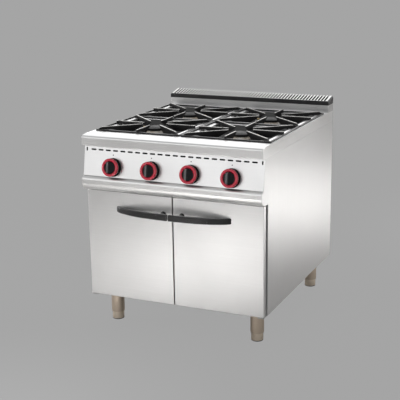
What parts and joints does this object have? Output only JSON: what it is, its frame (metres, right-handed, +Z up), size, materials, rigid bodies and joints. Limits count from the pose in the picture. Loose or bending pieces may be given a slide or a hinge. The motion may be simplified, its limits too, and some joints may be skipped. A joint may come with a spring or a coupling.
{
  "type": "commercial gas range",
  "caption": "Free-standing stainless gas range with open burners, cast pan supports and a rear flue, over a cupboard with double doors on adjustable legs.",
  "frame": {"origin": "on the floor, in the middle of the range's footprint", "axes": "+X to the right seen from the front, +Y from the doors to the rear, +Z up"},
  "size_m": [0.8, 0.972, 0.911],
  "materials": {
    "cabinet_steel": "satin brushed stainless sheet",
    "frame_steel": "dull galvanised sheet",
    "hob_steel": "brushed stainless sheet with cooking wear",
    "fascia_steel": "fine brushed stainless sheet",
    "door_steel": "fine brushed stainless sheet",
    "hinge_steel": "plain zinc plated steel",
    "pan_iron": "matt enamelled casting",
    "cap_enamel": "black enamelled casting",
    "burner_iron": "raw casting",
    "crown_metal": "worn plated brass",
    "grille_enamel": "black enamelled casting",
    "gas_pipe": "zinc finished steel pipe",
    "gas_brass": "machined brass",
    "tube_metal": "drawn aluminium tube",
    "knob_black": "satin black moulding",
    "ring_red": "glossy red moulding",
    "handle_black": "semi-gloss black moulding",
    "catch_black": "black moulding",
    "leg_steel": "brushed steel tube"
  },
  "bodies": {
    "cabinet": {"side_panel_left": "cabinet_steel", "side_panel_right": "cabinet_steel", "back_panel": "cabinet_steel", "panel_screws": "cabinet_steel", "cabinet_floor": "frame_steel", "base_channels": "frame_steel", "door_header": "frame_steel", "burner_tray": "frame_steel", "burner_rails": "frame_steel", "hob_top": "hob_steel", "burner_wells": "hob_steel", "flue_riser": "hob_steel", "control_panel": "fascia_steel", "front_rail": "fascia_steel", "knob_bezels": "knob_black", "hinge_brackets": "hinge_steel", "door_catches": "catch_black", "burner_bodies": "burner_iron", "burner_crowns": "crown_metal", "gas_manifold": "gas_pipe", "gas_inlet": "gas_pipe", "gas_valves": "gas_brass", "gas_injectors": "gas_brass", "feed_tubes": "tube_metal", "pilot_burners": "gas_brass", "thermocouples": "tube_metal", "leg_sleeves": "leg_steel"},
    "door_left": {"door_skin_left": "door_steel", "door_liner_left": "door_steel", "door_pins_left": "hinge_steel", "handle_left": "handle_black"},
    "door_right": {"door_skin_right": "door_steel", "door_liner_right": "door_steel", "door_pins_right": "hinge_steel", "handle_right": "handle_black"},
    "spindle_1": {"valve_spindle_1": "hinge_steel"},
    "knob_1": {"knob_1": "knob_black", "knob_ring_1": "ring_red"},
    "spindle_2": {"valve_spindle_2": "hinge_steel"},
    "knob_2": {"knob_2": "knob_black", "knob_ring_2": "ring_red"},
    "spindle_3": {"valve_spindle_3": "hinge_steel"},
    "knob_3": {"knob_3": "knob_black", "knob_ring_3": "ring_red"},
    "spindle_4": {"valve_spindle_4": "hinge_steel"},
    "knob_4": {"knob_4": "knob_black", "knob_ring_4": "ring_red"},
    "pan_support_front_left": {"pan_support_front_left": "pan_iron"},
    "burner_cap_front_left": {"burner_cap_front_left": "cap_enamel"},
    "pan_support_front_right": {"pan_support_front_right": "pan_iron"},
    "burner_cap_front_right": {"burner_cap_front_right": "cap_enamel"},
    "pan_support_rear_left": {"pan_support_rear_left": "pan_iron"},
    "burner_cap_rear_left": {"burner_cap_rear_left": "cap_enamel"},
    "pan_support_rear_right": {"pan_support_rear_right": "pan_iron"},
    "burner_cap_rear_right": {"burner_cap_rear_right": "cap_enamel"},
    "flue_grille": {"flue_grille": "grille_enamel"},
    "foot_front_left": {"foot_front_left": "leg_steel"},
    "foot_front_right": {"foot_front_right": "leg_steel"},
    "foot_rear_left": {"foot_rear_left": "leg_steel"},
    "foot_rear_right": {"foot_rear_right": "leg_steel"}
  },
  "joints": [
    {"name": "door_left_hinge", "type": "hinge", "parent": "cabinet", "child": "door_left", "pos_m": [-0.384, -0.421, 0.3745], "axis": [0, 0, -1], "range_deg": [0, 120]},
    {"name": "door_right_hinge", "type": "hinge", "parent": "cabinet", "child": "door_right", "pos_m": [0.384, -0.421, 0.3745], "axis": [0, 0, 1], "range_deg": [0, 120]},
    {"name": "tap_1_turn", "type": "hinge", "parent": "cabinet", "child": "spindle_1", "pos_m": [-0.264, -0.4426, 0.712], "axis": [0, -0.9837, 0.1796], "range_deg": [0, 270]},
    {"name": "knob_1_push", "type": "slide", "parent": "spindle_1", "child": "knob_1", "axis": [0, 0.9837, -0.1796], "range_m": [0, 0.004], "stiffness_N_per_m": 2500, "springref_m": -0.001},
    {"name": "tap_2_turn", "type": "hinge", "parent": "cabinet", "child": "spindle_2", "pos_m": [-0.088, -0.4426, 0.712], "axis": [0, -0.9837, 0.1796], "range_deg": [0, 270]},
    {"name": "knob_2_push", "type": "slide", "parent": "spindle_2", "child": "knob_2", "axis": [0, 0.9837, -0.1796], "range_m": [0, 0.004], "stiffness_N_per_m": 2500, "springref_m": -0.001},
    {"name": "tap_3_turn", "type": "hinge", "parent": "cabinet", "child": "spindle_3", "pos_m": [0.088, -0.4426, 0.712], "axis": [0, -0.9837, 0.1796], "range_deg": [0, 270]},
    {"name": "knob_3_push", "type": "slide", "parent": "spindle_3", "child": "knob_3", "axis": [0, 0.9837, -0.1796], "range_m": [0, 0.004], "stiffness_N_per_m": 2500, "springref_m": -0.001},
    {"name": "tap_4_turn", "type": "hinge", "parent": "cabinet", "child": "spindle_4", "pos_m": [0.264, -0.4426, 0.712], "axis": [0, -0.9837, 0.1796], "range_deg": [0, 270]},
    {"name": "knob_4_push", "type": "slide", "parent": "spindle_4", "child": "knob_4", "axis": [0, 0.9837, -0.1796], "range_m": [0, 0.004], "stiffness_N_per_m": 2500, "springref_m": -0.001},
    {"name": "pan_support_front_left_lift", "type": "slide", "parent": "cabinet", "child": "pan_support_front_left", "axis": [0, 0, 1], "range_m": [0, 0.1]},
    {"name": "burner_cap_front_left_lift", "type": "slide", "parent": "cabinet", "child": "burner_cap_front_left", "axis": [0, 0, 1], "range_m": [0, 0.06]},
    {"name": "pan_support_front_right_lift", "type": "slide", "parent": "cabinet", "child": "pan_support_front_right", "axis": [0, 0, 1], "range_m": [0, 0.1]},
    {"name": "burner_cap_front_right_lift", "type": "slide", "parent": "cabinet", "child": "burner_cap_front_right", "axis": [0, 0, 1], "range_m": [0, 0.06]},
    {"name": "pan_support_rear_left_lift", "type": "slide", "parent": "cabinet", "child": "pan_support_rear_left", "axis": [0, 0, 1], "range_m": [0, 0.1]},
    {"name": "burner_cap_rear_left_lift", "type": "slide", "parent": "cabinet", "child": "burner_cap_rear_left", "axis": [0, 0, 1], "range_m": [0, 0.06]},
    {"name": "pan_support_rear_right_lift", "type": "slide", "parent": "cabinet", "child": "pan_support_rear_right", "axis": [0, 0, 1], "range_m": [0, 0.1]},
    {"name": "burner_cap_rear_right_lift", "type": "slide", "parent": "cabinet", "child": "burner_cap_rear_right", "axis": [0, 0, 1], "range_m": [0, 0.06]},
    {"name": "flue_grille_lift", "type": "slide", "parent": "cabinet", "child": "flue_grille", "axis": [0, 0, 1], "range_m": [0, 0.06]},
    {"name": "foot_front_left_adjust", "type": "slide", "parent": "cabinet", "child": "foot_front_left", "axis": [0, 0, -1], "range_m": [0, 0.03]},
    {"name": "foot_front_right_adjust", "type": "slide", "parent": "cabinet", "child": "foot_front_right", "axis": [0, 0, -1], "range_m": [0, 0.03]},
    {"name": "foot_rear_left_adjust", "type": "slide", "parent": "cabinet", "child": "foot_rear_left", "axis": [0, 0, -1], "range_m": [0, 0.03]},
    {"name": "foot_rear_right_adjust", "type": "slide", "parent": "cabinet", "child": "foot_rear_right", "axis": [0, 0, -1], "range_m": [0, 0.03]}
  ]
}
